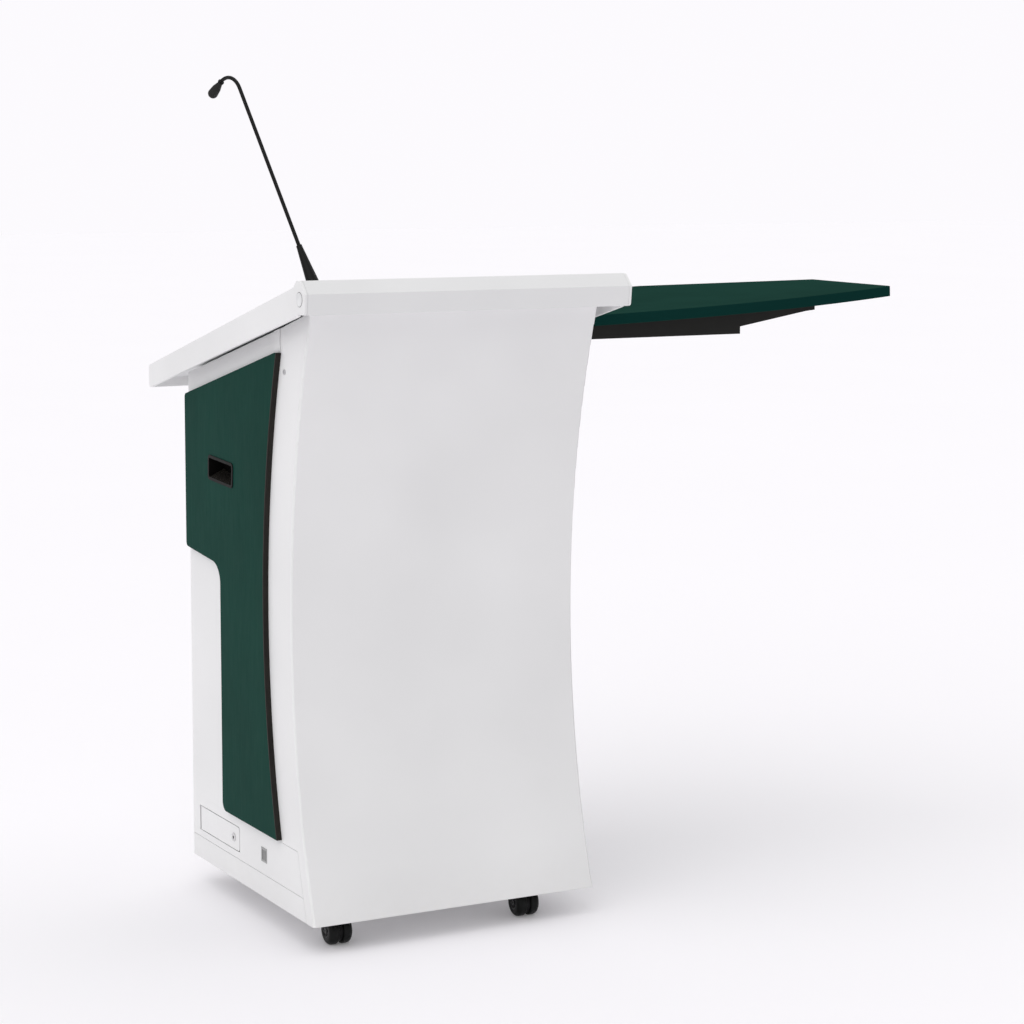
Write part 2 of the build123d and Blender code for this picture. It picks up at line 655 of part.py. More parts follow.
def mic_cone():
    """Tapered sleeve on a round foot."""
    part = lean_plane(MIC_ROOT, MIC_LEAN) * Pos(0, 0, (CONE_START + CONE_L) / 2) * Cone(
        CONE_R0, CONE_R1, CONE_L - CONE_START)
    part += desk_plane() * Pos(0, 0, 9.0) * Cylinder(CONE_R0, 10.0)
    part += lean_plane(MIC_ROOT, MIC_LEAN) * Pos(0, 0, CONE_START) * Sphere(CONE_R0 - 0.3)
    below = desk_plane() * Pos(0, 0, -16.0) * Box(60, 60, 40)
    return part - below


def mic_neck():
    """Flexible tube with rounded ends: a straight run, then a bend over towards the presenter."""
    foot = NECK_START - lean_way(MIC_LEAN) * NECK_TUBE_R
    tip = HEAD_JOINT + lean_way(TAIL_LEAN) * NECK_TUBE_R
    path = Wire([Edge.make_line(foot, NECK_END),
                 Edge.make_three_point_arc(NECK_END, BEND_MIDDLE, BEND_END),
                 Edge.make_line(BEND_END, tip)])
    tube = sweep(lean_plane(foot, MIC_LEAN) * Circle(NECK_TUBE_R), path=path)
    ends = [f.edges() for f in tube.faces() if f.geom_type == GeomType.PLANE]
    return fillet([e for rim in ends for e in rim], NECK_TUBE_R - 0.3)


def mic_head():
    """Pear-shaped capsule housing, clear of the neck's rounded end."""
    start = NECK_TUBE_R + GAP
    root_r = NECK_TUBE_R + 1
    shoulder = HEAD_L - HEAD_R
    profile = make_face([
        Line((0, start), (0, HEAD_L)),
        ThreePointArc((0, HEAD_L), (HEAD_R * 0.72, HEAD_L - HEAD_R * 0.3), (HEAD_R, shoulder)),
        Line((HEAD_R, shoulder), (HEAD_R * 0.86, HEAD_L * 0.5)),
        Line((HEAD_R * 0.86, HEAD_L * 0.5), (root_r, HEAD_L * 0.2)),
        Line((root_r, HEAD_L * 0.2), (root_r, start)),
        Line((root_r, start), (0, start)),
    ])
    return lean_plane(HEAD_JOINT, HEAD_LEAN) * revolve(Plane.XZ * profile, axis=Axis.Z)


# ---- folding shelf ------------------------------------------------------------------------------
def shelf_board():
    top = Plane(origin=(HALF_W, 0, SHELF_Z), x_dir=(1, 0, SHELF_RISE), z_dir=(-SHELF_RISE, 0, 1))
    k = sqrt(1 + SHELF_RISE**2)
    start = ((SHELF_IN - HALF_W) * k, SHELF_FRONT_IN)
    middle = ((SHELF_FRONT_MID_X - HALF_W) * k, SHELF_FRONT_MID)
    end = ((SHELF_OUT - HALF_W) * k, SHELF_FRONT_OUT)
    corner = ((SHELF_OUT - HALF_W) * k, SHELF_SIDE_END)
    slant = ((SHELF_BACK_X - HALF_W) * k, SHELF_BACK)
    root = ((SHELF_IN - HALF_W) * k, SHELF_BACK)
    face = make_face([ThreePointArc(start, middle, end), Line(end, corner), Line(corner, slant),
                      Line(slant, root), Line(root, start)])
    face = fillet(face.vertices(), 4.0)
    part = extrude(top * face, -SHELF_T)
    rims = [e for e in part.edges() if e.length > 60]
    return fillet(rims, 1.0)


def shelf_bracket(y):
    """Channel under the board: two cheeks and a floor, with a knuckle on the hinge axis."""
    x0 = SHELF_AXIS_X - KNUCKLE_R - GAP
    y0 = y - BRACKET_W / 2
    y1 = y + BRACKET_W / 2
    side = make_face([
        Line((x0, BRACKET_Z), (BRACKET_END, BRACKET_Z)),
        Line((BRACKET_END, BRACKET_Z), (BRACKET_END, shelf_under(BRACKET_END))),
        Line((BRACKET_END, shelf_under(BRACKET_END)), (x0, shelf_under(x0))),
        Line((x0, shelf_under(x0)), (x0, BRACKET_Z)),
    ])
    part = extrude(Plane.XZ.offset(-y1) * side, BRACKET_W)
    inside = make_face([
        Line((x0 + 16, BRACKET_Z + BRACKET_T), (BRACKET_END + 5, BRACKET_Z + BRACKET_T)),
        Line((BRACKET_END + 5, BRACKET_Z + BRACKET_T), (BRACKET_END + 5, shelf_under(BRACKET_END) + 9)),
        Line((BRACKET_END + 5, shelf_under(BRACKET_END) + 9), (x0 + 16, shelf_under(x0) + 9)),
        Line((x0 + 16, shelf_under(x0) + 9), (x0 + 16, BRACKET_Z + BRACKET_T)),
    ])
    part -= extrude(Plane.XZ.offset(-y1 + BRACKET_T) * inside, BRACKET_W - 2 * BRACKET_T)
    part += rod(KNUCKLE_R, (SHELF_AXIS_X, y0, SHELF_AXIS_Z), (SHELF_AXIS_X, y1, SHELF_AXIS_Z))
    part += box(SHELF_AXIS_X, SHELF_AXIS_X + KNUCKLE_R, y0, y1, SHELF_AXIS_Z, BRACKET_Z + BRACKET_T)
    return part - rod(PIN_R + FIT, (SHELF_AXIS_X, y0 - 1, SHELF_AXIS_Z),
                      (SHELF_AXIS_X, y1 + 1, SHELF_AXIS_Z))


def shelf_arm(y):
    """Tapered arm that reaches past the channel and carries the board's outer half."""
    face = make_face([
        Line((ARM_START, shelf_under(ARM_START)), (ARM_END, shelf_under(ARM_END))),
        Line((ARM_END, shelf_under(ARM_END)), (ARM_END, shelf_under(ARM_END) - ARM_TIP_H)),
        Line((ARM_END, shelf_under(ARM_END) - ARM_TIP_H),
             (ARM_END - 20, shelf_under(ARM_END - 20) - ARM_TIP_H - 1)),
        Line((ARM_END - 20, shelf_under(ARM_END - 20) - ARM_TIP_H - 1),
             (BRACKET_END, shelf_under(BRACKET_END) - ARM_ROOT_H)),
        Line((BRACKET_END, shelf_under(BRACKET_END) - ARM_ROOT_H),
             (ARM_START, shelf_under(ARM_START) - ARM_ROOT_H)),
        Line((ARM_START, shelf_under(ARM_START) - ARM_ROOT_H), (ARM_START, shelf_under(ARM_START))),
    ])
    width = BRACKET_W - 2 * BRACKET_T - 2 * GAP
    return extrude(Plane.XZ.offset(-y - width / 2) * face, width)


def shelf_mount():
    """Fixed plate beside the desk rail, with two knuckles for each bracket."""
    x0 = SHELF_IN
    x1 = SHELF_IN + MOUNT_T
    part = box(x0, x1, *MOUNT_Y, *MOUNT_Z)
    for y in BRACKET_YS.values():
        for side in (-1, 1):
            near = y + side * (BRACKET_W / 2 + GAP)
            far = near + side * KNUCKLE_L
            part += rod(KNUCKLE_R, (SHELF_AXIS_X, near, SHELF_AXIS_Z), (SHELF_AXIS_X, far, SHELF_AXIS_Z))
            part += box(x0, SHELF_AXIS_X, near, far, SHELF_AXIS_Z - KNUCKLE_R, SHELF_AXIS_Z)
            part -= rod(PIN_R, (SHELF_AXIS_X, near, SHELF_AXIS_Z), (SHELF_AXIS_X, far, SHELF_AXIS_Z))
        part -= box(x0 + MOUNT_T, x0 + 40, y - BRACKET_W / 2 - GAP, y + BRACKET_W / 2 + GAP, 900, 1000)
    return part


def shelf_pin(y):
    half = BRACKET_W / 2 + GAP + KNUCKLE_L
    return rod(PIN_R, (SHELF_AXIS_X, y - half, SHELF_AXIS_Z), (SHELF_AXIS_X, y + half, SHELF_AXIS_Z))


def standoffs():
    """Three spacers between the right side panel and the shelf mount."""
    spots = []
    for y in (MOUNT_Y[0] + 24, (MOUNT_Y[0] + MOUNT_Y[1]) / 2, MOUNT_Y[1] - 24):
        spots.append(rod(STANDOFF_R, (HALF_W + PANEL_T, y, STANDOFF_Z), (SHELF_IN, y, STANDOFF_Z)))
    return Compound(children=[s.solid() for s in spots])


# ---- casters ------------------------------------------------------------------------------------
def caster_places():
    return list(CASTERS.values())


def caster_frame(x, y):
    """Plane at the swivel axis on the floor; its local Y points from the swivel axis to the wheels."""
    turn = radians(SWIVEL)
    return Plane(origin=(x, y, 0), x_dir=(cos(turn), -sin(turn), 0), z_dir=(0, 0, 1))


def caster_plate(x, y):
    low = DECK_Z - PLATE_T
    plate = Pos(x, y, DECK_Z - PLATE_T / 2) * Box(PLATE_A, PLATE_A, PLATE_T)
    return plate + rod(STEM_R, (x, y, low - 12), (x, y, DECK_Z + PLATE_T + 1.5))


def caster_hood(x, y):
    """Web between the wheels, a boss on the stem and a fender over both wheels."""
    half = WEB_T / 2
    web = rod(WHEEL_R - 4, (-half, -TRAIL, WHEEL_R), (half, -TRAIL, WHEEL_R))
    web += box(-half, half, -TRAIL - 4, 8, WHEEL_R + 8, WHEEL_R + 26)
    web += rod(11.0, (0, 0, WHEEL_R + 24.5), (0, 0, DECK_Z - PLATE_T - GAP))
    width = half + GAP + WHEEL_T
    fender = rod(WHEEL_R + 4, (-width, -TRAIL, WHEEL_R), (width, -TRAIL, WHEEL_R))
    fender -= rod(WHEEL_R + 1.5, (-width - 1, -TRAIL, WHEEL_R), (width + 1, -TRAIL, WHEEL_R))
    fender &= box(-width, width, -TRAIL - 16, 20, WHEEL_R + 12, WHEEL_R + 40)
    web += fender
    web -= rod(STEM_R + FIT, (0, 0, DECK_Z - PLATE_T - 12.5), (0, 0, DECK_Z))
    web -= rod(AXLE_R, (-width, -TRAIL, WHEEL_R), (width, -TRAIL, WHEEL_R))
    return caster_frame(x, y) * web


def caster_axle(x, y):
    width = WEB_T / 2 + GAP + WHEEL_T - 2
    return caster_frame(x, y) * rod(AXLE_R, (-width, -TRAIL, WHEEL_R), (width, -TRAIL, WHEEL_R))


def caster_wheels(x, y):
    """Two wheels with a rounded tread and a dished outer face."""
    start = WEB_T / 2 + GAP
    solids = []
    for side in (-1, 1):
        wheel = rod(WHEEL_R, (side * start, -TRAIL, WHEEL_R), (side * (start + WHEEL_T), -TRAIL, WHEEL_R))
        rim = [e for e in wheel.edges() if abs(abs(e.center().X) - start - WHEEL_T) < 0.1 and e.length > 50]
        wheel = fillet(rim, WHEEL_ROUND)
        inner = [e for e in wheel.edges() if abs(abs(e.center().X) - start) < 0.1 and e.length > 50]
        wheel = fillet(inner, 2.5)
        tip = side * (start + WHEEL_T)
        wheel -= rod(12.0, (tip - side * 2.0, -TRAIL, WHEEL_R), (tip, -TRAIL, WHEEL_R))
        wheel += rod(6.0, (tip - side * 2.5, -TRAIL, WHEEL_R), (tip - side * 0.5, -TRAIL, WHEEL_R))
        bore = side * (start + WHEEL_T - 1.5)
        wheel -= rod(AXLE_R + FIT, (side * (start - 1), -TRAIL, WHEEL_R), (bore, -TRAIL, WHEEL_R))
        solids.append(wheel)
    pair = Compound(children=[s.solid() for s in solids])
    return pair.moved(caster_frame(x, y).location)


# ---- the whole lectern --------------------------------------------------------------------------
def build():
    os.makedirs("parts", exist_ok=True)
    save("front_shell", drilled_cheeks(front_shell()))
    save("plinth", plinth())
    save("base_housing", housing())
    for side, turn in (("left", lambda part: part), ("right", mirrored)):
        save("side_wall_" + side, turn(side_wall()))
        save("side_panel_" + side, turn(side_panel()))
        save("edge_strip_" + side, turn(edge_strip()))
        save("handle_cup_" + side, turn(handle_cup()))
        save("cheek_screw_" + side, turn(cheek_screws()))
        save("desk_rail_" + side, turn(rail()))
        save("lid_pivot_" + side, turn(pivot()))
    save("base_door", base_door())
    save("base_door_pin", base_door_pin())
    save("base_door_lock", base_lock())
    save("port_insert", port())
    save("rear_header", rear_header())
    save("rear_door", rear_door())
    save("rear_door_hinges", rear_hinges())
    save("rear_door_lock", rear_lock())
    save("desk_beam", beam())
    save("desk_board", board())
    save("desk_rear_lip", rear_lip())
    save("mic_base", mic_base())
    save("mic_cone", mic_cone())
    save("mic_neck", mic_neck())
    save("mic_head", mic_head())
    save("shelf_board", shelf_board())
    save("shelf_mount", shelf_mount())
    save("shelf_standoffs", standoffs())
    for place, y in BRACKET_YS.items():
        save("shelf_bracket_" + place, shelf_bracket(y))
        save("shelf_arm_" + place, shelf_arm(y))
        save("shelf_pin_" + place, shelf_pin(y))
    for place, (x, y) in CASTERS.items():
        name = "caster_" + place
        save(name + "_plate", caster_plate(x, y))
        save(name + "_hood", caster_hood(x, y))
        save(name + "_axle", caster_axle(x, y))
        save(name + "_wheels", caster_wheels(x, y))


if __name__ == "__main__":
    build()
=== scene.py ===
import json
import math

import bmesh
import bpy
from mathutils import Matrix, Vector


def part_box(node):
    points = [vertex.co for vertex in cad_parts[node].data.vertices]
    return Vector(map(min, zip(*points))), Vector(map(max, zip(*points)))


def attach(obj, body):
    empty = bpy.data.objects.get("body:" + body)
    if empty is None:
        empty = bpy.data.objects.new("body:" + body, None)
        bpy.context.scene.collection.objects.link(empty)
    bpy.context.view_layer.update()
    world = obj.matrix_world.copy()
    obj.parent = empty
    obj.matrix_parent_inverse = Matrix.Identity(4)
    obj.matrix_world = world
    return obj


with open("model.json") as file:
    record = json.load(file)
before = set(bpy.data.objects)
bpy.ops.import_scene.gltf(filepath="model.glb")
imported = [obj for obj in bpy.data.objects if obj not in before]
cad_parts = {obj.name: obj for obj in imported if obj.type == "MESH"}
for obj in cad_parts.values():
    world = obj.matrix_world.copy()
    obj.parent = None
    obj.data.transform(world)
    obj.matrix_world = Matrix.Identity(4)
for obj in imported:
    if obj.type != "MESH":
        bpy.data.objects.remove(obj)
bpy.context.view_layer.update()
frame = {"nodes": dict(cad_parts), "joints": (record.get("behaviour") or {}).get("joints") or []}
NODES = frame["nodes"]
JOINTS = {j["name"]: j for j in frame["joints"]}
SCENE = bpy.context.scene
PORT_FACE_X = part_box("port_insert")[0].x
REAR_FACE_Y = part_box("rear_header")[1].y


# ---- node helpers -------------------------------------------------------------------------------
class Shader:
    """A new material and short calls to fill its node tree."""

    def __init__(self, name, **sockets):
        self.material = bpy.data.materials.new(name)
        self.material.use_nodes = True
        self.tree = self.material.node_tree
        self.bsdf = self.tree.nodes["Principled BSDF"]
        for key, value in sockets.items():
            self.bsdf.inputs[key.replace("_", " ")].default_value = value
        self.coords = self.tree.nodes.new("ShaderNodeTexCoord")

    def node(self, kind, **values):
        made = self.tree.nodes.new(kind)
        for key, value in values.items():
            setattr(made, key, value)
        return made

    def link(self, a, b):
        self.tree.links.new(a, b)

    def scaled(self, scale):
        """Object coordinates, stretched by a scale for each axis."""
        mapping = self.node("ShaderNodeMapping")
        mapping.inputs["Scale"].default_value = scale
        self.link(self.coords.outputs["Object"], mapping.inputs["Vector"])
        return mapping.outputs["Vector"]

    def noise(self, scale, detail=3.0, rough=0.55, stretch=(1, 1, 1)):
        """Noise value; a higher scale is finer."""
        made = self.node("ShaderNodeTexNoise")
        made.inputs["Scale"].default_value = scale
        made.inputs["Detail"].default_value = detail
        made.inputs["Roughness"].default_value = rough
        self.link(self.scaled(stretch), made.inputs["Vector"])
        return made.outputs["Fac"]

    def ramp(self, fac, stops):
        made = self.node("ShaderNodeValToRGB")
        elements = made.color_ramp.elements
        while len(elements) < len(stops):
            elements.new(0.5)
        for element, (at, colour) in zip(elements, stops):
            element.position = at
            element.color = (*colour, 1)
        self.link(fac, made.inputs["Fac"])
        return made.outputs["Color"]

    def span(self, fac, low, high, start=0.3, end=0.7):
        """Maps start..end of a value to low..high."""
        made = self.node("ShaderNodeMapRange")
        for key, value in (("From Min", start), ("From Max", end), ("To Min", low), ("To Max", high)):
            made.inputs[key].default_value = value
        self.link(fac, made.inputs["Value"])
        return made.outputs["Result"]

    def math(self, operation, a, b):
        made = self.node("ShaderNodeMath", operation=operation)
        for socket, value in zip(made.inputs, (a, b)):
            if isinstance(value, (int, float)):
                socket.default_value = value
            else:
                self.link(value, socket)
        return made.outputs["Value"]

    def mix(self, fac, a, b):
        made = self.node("ShaderNodeMix", data_type="RGBA")
        self.link(fac, made.inputs["Factor"])
        for key, value in ((6, a), (7, b)):
            if isinstance(value, tuple):
                made.inputs[key].default_value = (*value, 1)
            else:
                self.link(value, made.inputs[key])
        return made.outputs[2]

    def coordinate(self, axis, output="Object"):
        made = self.node("ShaderNodeSeparateXYZ")
        self.link(self.coords.outputs[output], made.inputs["Vector"])
        return made.outputs[axis]

    def colour(self, socket):
        self.link(socket, self.bsdf.inputs["Base Color"])

    def roughness(self, socket):
        self.link(socket, self.bsdf.inputs["Roughness"])

    def relief(self, height, strength, distance=0.001, edge=0.0):
        """Bump from a height, over edges rounded by the radius edge."""
        bump = self.node("ShaderNodeBump")
        bump.inputs["Strength"].default_value = strength
        bump.inputs["Distance"].default_value = distance
        self.link(height, bump.inputs["Height"])
        if edge:
            bevel = self.node("ShaderNodeBevel", samples=4)
            bevel.inputs["Radius"].default_value = edge
            self.link(bevel.outputs["Normal"], bump.inputs["Normal"])
        self.link(bump.outputs["Normal"], self.bsdf.inputs["Normal"])


def tone(colour, factor):
    return tuple(c * factor for c in colour)


# ---- materials ----------------------------------------------------------------------------------
DUST_AMOUNT = 0.22
DUST_LOW, DUST_HIGH = 0.03, 0.13
DUST_COLOUR = (0.60, 0.58, 0.55)
# Depth behind the port's face over which painted shade darkens its slots to near-black.
PORT_SLOT_SHADE_START, PORT_SLOT_SHADE_END = 0.0005, 0.0016


def powder_coat(name, colour, rough=0.42, edge=0.0008, spread=0.05):
    """Powder-coated sheet: faint orange peel, slow tone drift and a little dust near the floor."""
    s = Shader(name, Specular_IOR_Level=0.2)
    drift = s.noise(3.1, 2.0)
    base = s.ramp(drift, [(0.3, tone(colour, 1 - spread)), (0.7, tone(colour, 1 + spread / 3))])
    dust = s.span(s.coordinate("Z"), DUST_AMOUNT, 0.0, DUST_LOW, DUST_HIGH)
    speck = s.math("MULTIPLY", dust, s.noise(38.0, 5.0))
    s.colour(s.mix(speck, base, tone(DUST_COLOUR, min(1, sum(colour) / 1.5))))
    fine = s.noise(900.0, 2.0)
    s.roughness(s.span(s.noise(24.0, 4.0), rough - 0.05, rough + 0.06))
    s.relief(s.math("ADD", fine, s.math("MULTIPLY", s.noise(160.0, 2.0), 1.6)), 0.12, 0.0003, edge)
    return s.material


def laminate(name, colour, edge_colour, rough=0.45, gloss=0.02, edge=0.0012, cloudy=0.1):
    """Laminated board with a faint vertical grain; edge_colour, if any, goes on its upright faces."""
    s = Shader(name, Specular_IOR_Level=gloss)
    cloud = s.noise(5.0, 3.0)
    grain = s.noise(260.0, 4.0, 0.7, (1.0, 1.0, 0.08))
    face = s.ramp(cloud, [(0.3, tone(colour, 1 - cloudy)), (0.7, tone(colour, 1 + cloudy))])
    fibre = s.mix(s.span(grain, 0.0, 2 * cloudy), face, tone(colour, 0.78))
    s.colour(fibre)
    s.roughness(s.span(grain, rough - 0.05, rough + 0.08))
    s.relief(s.math("ADD", grain, s.noise(1200.0, 2.0)), 0.10, 0.0002, edge)
    if edge_colour is not None:
        flat = s.math("ABSOLUTE", s.coordinate("Z", "Normal"), 0.0)
        s.colour(s.mix(s.span(flat, 1.0, 0.0, 0.35, 0.6), fibre, edge_colour))
    return s.material


def moulded(name, colour, rough=0.45, grain=1500.0, depth=0.25, edge=0.0006, gloss=0.15):
    """Moulded plastic: fine spark-eroded texture with slightly polished patches."""
    s = Shader(name, Specular_IOR_Level=gloss)
    patch = s.noise(14.0, 4.0)
    s.colour(s.ramp(patch, [(0.3, tone(colour, 0.8)), (0.7, tone(colour, 1.35))]))
    s.roughness(s.span(patch, rough - 0.07, rough + 0.08))
    s.relief(s.noise(grain, 3.0), depth, 0.0002, edge)
    return s.material


def port_plastic(name):
    """Pale grey insert with painted shade: near-black from just behind its face, darkening its slots inside.
    """
    s = Shader(name, Specular_IOR_Level=0.2)
    start, end = PORT_FACE_X + PORT_SLOT_SHADE_START, PORT_FACE_X + PORT_SLOT_SHADE_END
    # Painted shade: the slots go near-black with depth behind the face.
    depth = s.span(s.coordinate("X"), 0.0, 1.0, start, end)
    pale = s.ramp(s.noise(300.0, 3.0), [(0.3, (0.34, 0.34, 0.34)), (0.7, (0.42, 0.42, 0.42))])
    s.colour(s.mix(depth, pale, (0.03, 0.03, 0.03)))
    s.roughness(s.span(s.noise(40.0, 3.0), 0.4, 0.55))
    s.relief(s.noise(1500.0, 2.0), 0.2, 0.0002, 0.0003)
    return s.material


def brushed(name, colour, rough=0.32, stretch=(1, 1, 0.03)):
    """Brushed metal: fine lines along the axis that is stretched."""
    s = Shader(name, Metallic=1.0)
    lines = s.noise(900.0, 3.0, 0.6, stretch)
    s.colour(s.ramp(lines, [(0.3, tone(colour, 0.75)), (0.7, tone(colour, 1.15))]))
    s.roughness(s.span(s.noise(30.0, 3.0), rough - 0.07, rough + 0.12))
    s.relief(lines, 0.2, 0.0001, 0.0004)
    return s.material


def ribbed_tube(name):
    """Gooseneck: fine wound ribs under satin black."""
    s = Shader(name, Specular_IOR_Level=0.15)
    wave = s.node("ShaderNodeTexWave", wave_type="BANDS", bands_direction="Z", wave_profile="SIN")
    wave.inputs["Scale"].default_value = 130.0
    s.link(s.coords.outputs["Object"], wave.inputs["Vector"])
    s.colour(s.ramp(s.noise(40.0, 3.0), [(0.3, (0.003, 0.003, 0.003)), (0.7, (0.006, 0.006, 0.006))]))
    s.roughness(s.span(s.noise(60.0, 3.0), 0.38, 0.5))
    s.relief(wave.outputs["Fac"], 0.04, 0.0002)
    return s.material


def grille_mesh(name):
    """Fine woven wire over the capsule."""
    s = Shader(name, Specular_IOR_Level=0.25)
    cells = s.node("ShaderNodeTexVoronoi", feature="F1")
    cells.inputs["Scale"].default_value = 900.0
    s.link(s.coords.outputs["Object"], cells.inputs["Vector"])
    s.colour(s.ramp(cells.outputs["Distance"], [(0.15, (0.002, 0.002, 0.002)), (0.6, (0.012, 0.012, 0.011))]))
    s.roughness(s.span(s.noise(50.0), 0.42, 0.55))
    s.relief(cells.outputs["Distance"], 0.6, 0.0004)
    return s.material


WHITE = powder_coat("white_powder_coat", (0.850, 0.850, 0.852))
# The beam's white is a darker copy of the same powder coat: painted shade on the beam.
BEAM_WHITE_SHADED = powder_coat("white_powder_coat_beam_shaded", (0.81, 0.812, 0.815))
DESK_WHITE = laminate("white_laminate", (0.80, 0.805, 0.81), (0.78, 0.79, 0.80), 0.42, 0.12, 0.0012, 0.02)
GREEN = laminate("green_laminate", (0.0060, 0.046, 0.034), None)
SHELF_GREEN = laminate("green_laminate_shelf", (0.0130, 0.046, 0.036), (0.0045, 0.030, 0.026), 0.6, 0.0)
EDGE_BAND = moulded("black_edge_band", (0.016, 0.014, 0.012), 0.5, 700.0)
CUP_BLACK = moulded("cup_black", (0.0050, 0.0048, 0.0045), 0.42, 1500.0, 0.15, 0.0003, 0.06)
CHARCOAL = powder_coat("charcoal_powder_coat", (0.0105, 0.0105, 0.009), 0.5)
CONE_BLACK = moulded("cone_black", (0.004, 0.004, 0.004), 0.4, 1100.0)
TUBE_BLACK = ribbed_tube("gooseneck_black")
HEAD_BLACK = grille_mesh("capsule_mesh")
HOOD_BLACK = moulded("caster_hood_black", (0.004, 0.004, 0.0045), 0.3)
WHEEL_BLACK = moulded("wheel_black", (0.0045, 0.005, 0.0048), 0.33, 800.0)
HUB_BLACK = moulded("hub_black", (0.016, 0.016, 0.017), 0.3, 1500.0, 0.15, 0.0003, 0.5)
FLOOR_BLACK = moulded("cup_floor_black", (0.020, 0.018, 0.016), 0.28, 1500.0, 0.12, 0.0003, 0.6)
SEAM_GREY = moulded("seam_grey", (0.22, 0.22, 0.22), 0.6)
PORT_GREY = port_plastic("port_grey")
STEEL = brushed("brushed_steel", (0.62, 0.62, 0.63))
LOCK_STEEL = brushed("lock_steel", (0.66, 0.66, 0.66), 0.2, (0.05, 1, 1))
PLUG_WHITE = moulded("plug_white", (0.78, 0.785, 0.79), 0.4)

# The last match counts, so a longer start of a name comes after a shorter one.
LOOKS = [
    (("front_shell", "plinth", "base_housing", "side_wall", "rear_header", "rear_door",
      "base_door", "desk_rail", "desk_rear_lip"), WHITE),
    (("desk_beam",), BEAM_WHITE_SHADED),
    (("desk_board",), DESK_WHITE),
    (("side_panel",), GREEN),
    (("shelf_board",), SHELF_GREEN),
    (("edge_strip",), EDGE_BAND),
    (("handle_cup",), CUP_BLACK),
    (("shelf_bracket", "shelf_arm", "shelf_mount", "shelf_standoffs"), CHARCOAL),
    (("mic_base", "mic_cone"), CONE_BLACK),
    (("mic_neck",), TUBE_BLACK),
    (("mic_head",), HEAD_BLACK),
    (("port_insert",), PORT_GREY),
    (("shelf_pin", "base_door_pin", "cheek_screw", "rear_door_hinges"), STEEL),
    (("base_door_lock", "rear_door_lock"), LOCK_STEEL),
    (("lid_pivot",), PLUG_WHITE),
]
CASTER_LOOKS = {"plate": STEEL, "hood": HOOD_BLACK, "axle": STEEL, "wheels": WHEEL_BLACK}


def look_of(name):
    """The material of a CAD node."""
    if name.startswith("caster_"):
        return CASTER_LOOKS[name.rsplit("_", 1)[1]]
    return [material for starts, material in LOOKS if name.startswith(starts)][-1]


for name, node in NODES.items():
    node.data.materials.clear()
    node.data.materials.append(look_of(name))


# ---- small detail pieces ------------------------------------------------------------------------
MIC_TURN = math.radians(12.0)
NECK_LEAN = math.radians(32.8)
HEAD_LEAN = math.radians(127.8)
CORNERS = ("fl", "fr", "bl", "br")
HUB_FACE = 0.0189
HUB_RING = [(0.0118, 0), (0.0118, 0.0012), (0.0108, 0.0017), (0.0098, 0.0012), (0.0098, 0)]
HUB_CAP = [(0.0046, 0), (0.0046, 0.0016), (0.0036, 0.0020), (0.0022, 0.0016), (0, 0.0008)]
HUB_RIBS = 5
HUB_RIB_AT = 0.0076
HUB_RIB_HALF = (0.0022, 0.0006, 0.0011)
HUB_TURN = 0.3
CONE_COLLAR_DROP = 0.0060
CONE_COLLAR = [(0.0044, 0), (0.0049, 0.0006), (0.0049, 0.0020), (0.0044, 0.0025), (0.0036, 0.0025)]
CAPSULE_COLLAR = [(0.0040, 0.0034), (0.0052, 0.0040), (0.0052, 0.0058), (0.0044, 0.0064)]
LOUVRE_GROUPS = (-0.105, 0.105)
LOUVRE_ROWS = 7
LOUVRE_TOP, LOUVRE_PITCH = 0.090, 0.016
LOUVRE_HALF = 0.070
LOUVRE_SLOPE = 0.004
LOUVRE_RISE, LOUVRE_FOOT = 0.0028, 0.0003
LOUVRE_HALF_HEIGHT = 0.0045
LOUVRE_STEPS = 10
HANDLE_SLOPE = math.tan(math.radians(2.5))
HANDLE_RIM = 0.0060
HANDLE_MOUTH = 0.0016
HANDLE_DEPTH = 0.0262
HANDLE_DROP = 0.0162
HANDLE_STEPS = 12


def lean_way(lean):
    """Direction in the microphone's upright plane, at an angle from upright."""
    out = math.sin(lean)
    return Vector((-out * math.sin(MIC_TURN), out * math.cos(MIC_TURN), math.cos(lean)))


def finished(name, bm, material, body, smooth=True):
    """A mesh object that rides on a CAD body."""
    mesh = bpy.data.meshes.new(name)
    bmesh.ops.recalc_face_normals(bm, faces=bm.faces)
    bm.to_mesh(mesh)
    bm.free()
    for face in mesh.polygons:
        face.use_smooth = smooth
    mesh.materials.append(material)
    piece = bpy.data.objects.new(name, mesh)
    SCENE.collection.objects.link(piece)
    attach(piece, body)
    return piece


def turned_to(origin, axis):
    return Matrix.Translation(Vector(origin)) @ Vector(axis).to_track_quat("Z", "Y").to_matrix().to_4x4()


def lathe(bm, profile, origin, axis, steps=48):
    """Adds a turned shape; profile holds (radius, height) in metres from the axis start."""
    place = turned_to(origin, axis)
    rows = []
    for radius, height in profile:
        if radius == 0:
            rows.append([bm.verts.new(place @ Vector((0, 0, height)))])
            continue
        turns = [2 * math.pi * i / steps for i in range(steps)]
        rows.append([bm.verts.new(place @ Vector((radius * math.cos(t), radius * math.sin(t), height)))
                     for t in turns])
    for low, high in zip(rows, rows[1:]):
        for i in range(steps):
            j = (i + 1) % steps
            if len(low) == 1:
                bm.faces.new((low[0], high[i], high[j]))
            elif len(high) == 1:
                bm.faces.new((low[i], low[j], high[0]))
            else:
                bm.faces.new((low[i], low[j], high[j], high[i]))


